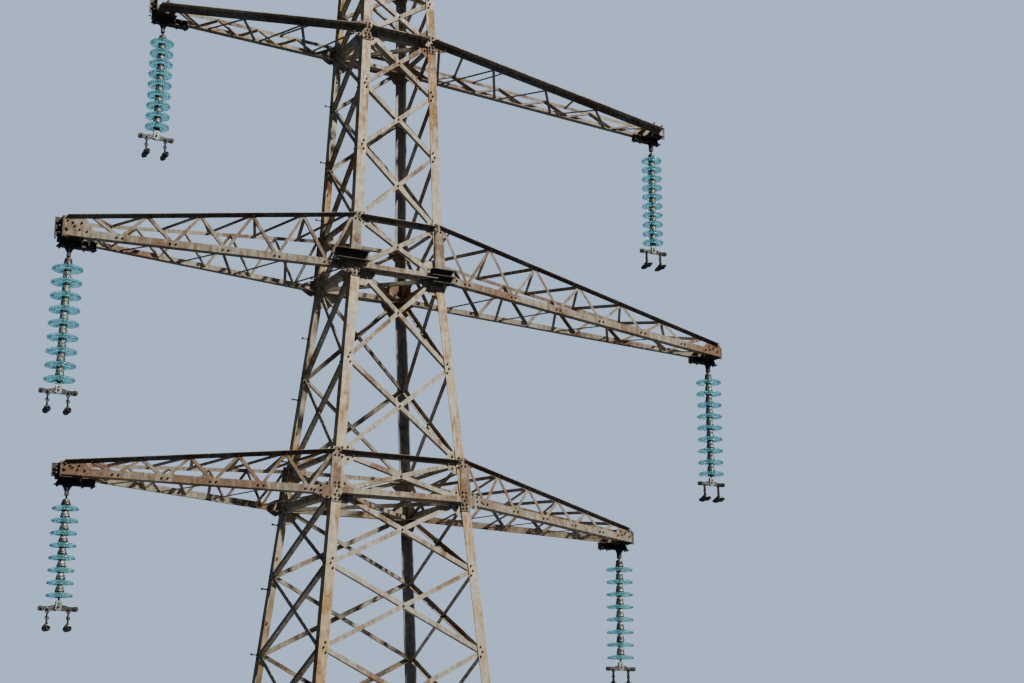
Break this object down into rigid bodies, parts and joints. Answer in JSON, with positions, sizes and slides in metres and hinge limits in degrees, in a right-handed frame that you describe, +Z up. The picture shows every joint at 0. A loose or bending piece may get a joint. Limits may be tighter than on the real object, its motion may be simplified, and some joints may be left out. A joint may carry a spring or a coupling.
{
  "type": "lattice transmission pylon",
  "caption": "Lattice steel transmission pylon with pairs of cross arms, a glass insulator string at every arm tip and an earth wire peak.",
  "frame": {"origin": "tower axis at ground level, in the plane of the undersides of the four base plates", "axes": "+Z up, +X out along the longer cross arms, +Y along the line, away from the viewer of the picture"},
  "size_m": [9.04, 4.868, 24.15],
  "materials": {
    "leg_steel": "weathered galvanised steel with rust stains",
    "lattice_steel": "weathered galvanised steel",
    "dark_steel": "dark weathered steel",
    "fittings": "dull malleable iron",
    "glass": "toughened green glass"
  },
  "bodies": {
    "tower": {"leg_front_left": "leg_steel", "leg_front_right": "leg_steel", "leg_back_right": "leg_steel", "leg_back_left": "leg_steel", "bracing_front": "lattice_steel", "bracing_right": "lattice_steel", "bracing_back": "lattice_steel", "bracing_left": "lattice_steel", "plan_frame_low": "lattice_steel", "plan_frame_mid": "lattice_steel", "plan_frame_top": "lattice_steel", "peak": "lattice_steel", "low_left_near_truss": "lattice_steel", "low_left_far_truss": "lattice_steel", "low_left_lacing": "lattice_steel", "low_left_tip": "dark_steel", "low_right_near_truss": "lattice_steel", "low_right_far_truss": "lattice_steel", "low_right_lacing": "lattice_steel", "low_right_tip": "dark_steel", "mid_left_near_truss": "lattice_steel", "mid_left_far_truss": "lattice_steel", "mid_left_lacing": "lattice_steel", "mid_left_tip": "dark_steel", "mid_right_near_truss": "lattice_steel", "mid_right_far_truss": "lattice_steel", "mid_right_lacing": "lattice_steel", "mid_right_tip": "dark_steel", "top_left_near_chord": "lattice_steel", "top_left_far_truss": "lattice_steel", "top_left_lacing": "lattice_steel", "top_left_tip": "dark_steel", "top_right_near_chord": "lattice_steel", "top_right_far_truss": "lattice_steel", "top_right_lacing": "lattice_steel", "top_right_tip": "dark_steel"},
    "low_left_insulator": {"low_left_string": "fittings", "low_left_discs_glass": "glass"},
    "low_right_insulator": {"low_right_string": "fittings", "low_right_discs_glass": "glass"},
    "mid_left_insulator": {"mid_left_string": "fittings", "mid_left_discs_glass": "glass"},
    "mid_right_insulator": {"mid_right_string": "fittings", "mid_right_discs_glass": "glass"},
    "top_left_insulator": {"top_left_string": "fittings", "top_left_discs_glass": "glass"},
    "top_right_insulator": {"top_right_string": "fittings", "top_right_discs_glass": "glass"}
  },
  "joints": [
    {"name": "low_left_swing", "type": "hinge", "parent": "tower", "child": "low_left_insulator", "pos_m": [-3.56, 0, 14.898], "axis": [0, 1, 0], "range_deg": [-40, 40]},
    {"name": "low_right_swing", "type": "hinge", "parent": "tower", "child": "low_right_insulator", "pos_m": [3.42, 0, 14.593], "axis": [0, 1, 0], "range_deg": [-40, 40]},
    {"name": "mid_left_swing", "type": "hinge", "parent": "tower", "child": "mid_left_insulator", "pos_m": [-3.73, 0, 17.553], "axis": [0, 1, 0], "range_deg": [-40, 40]},
    {"name": "mid_right_swing", "type": "hinge", "parent": "tower", "child": "mid_right_insulator", "pos_m": [4.89, 0, 17.198], "axis": [0, 1, 0], "range_deg": [-40, 40]},
    {"name": "top_left_swing", "type": "hinge", "parent": "tower", "child": "top_left_insulator", "pos_m": [-2.84, 0, 20.468], "axis": [0, 1, 0], "range_deg": [-40, 40]},
    {"name": "top_right_swing", "type": "hinge", "parent": "tower", "child": "top_right_insulator", "pos_m": [4.04, 0, 20.248], "axis": [0, 1, 0], "range_deg": [-40, 40]}
  ]
}
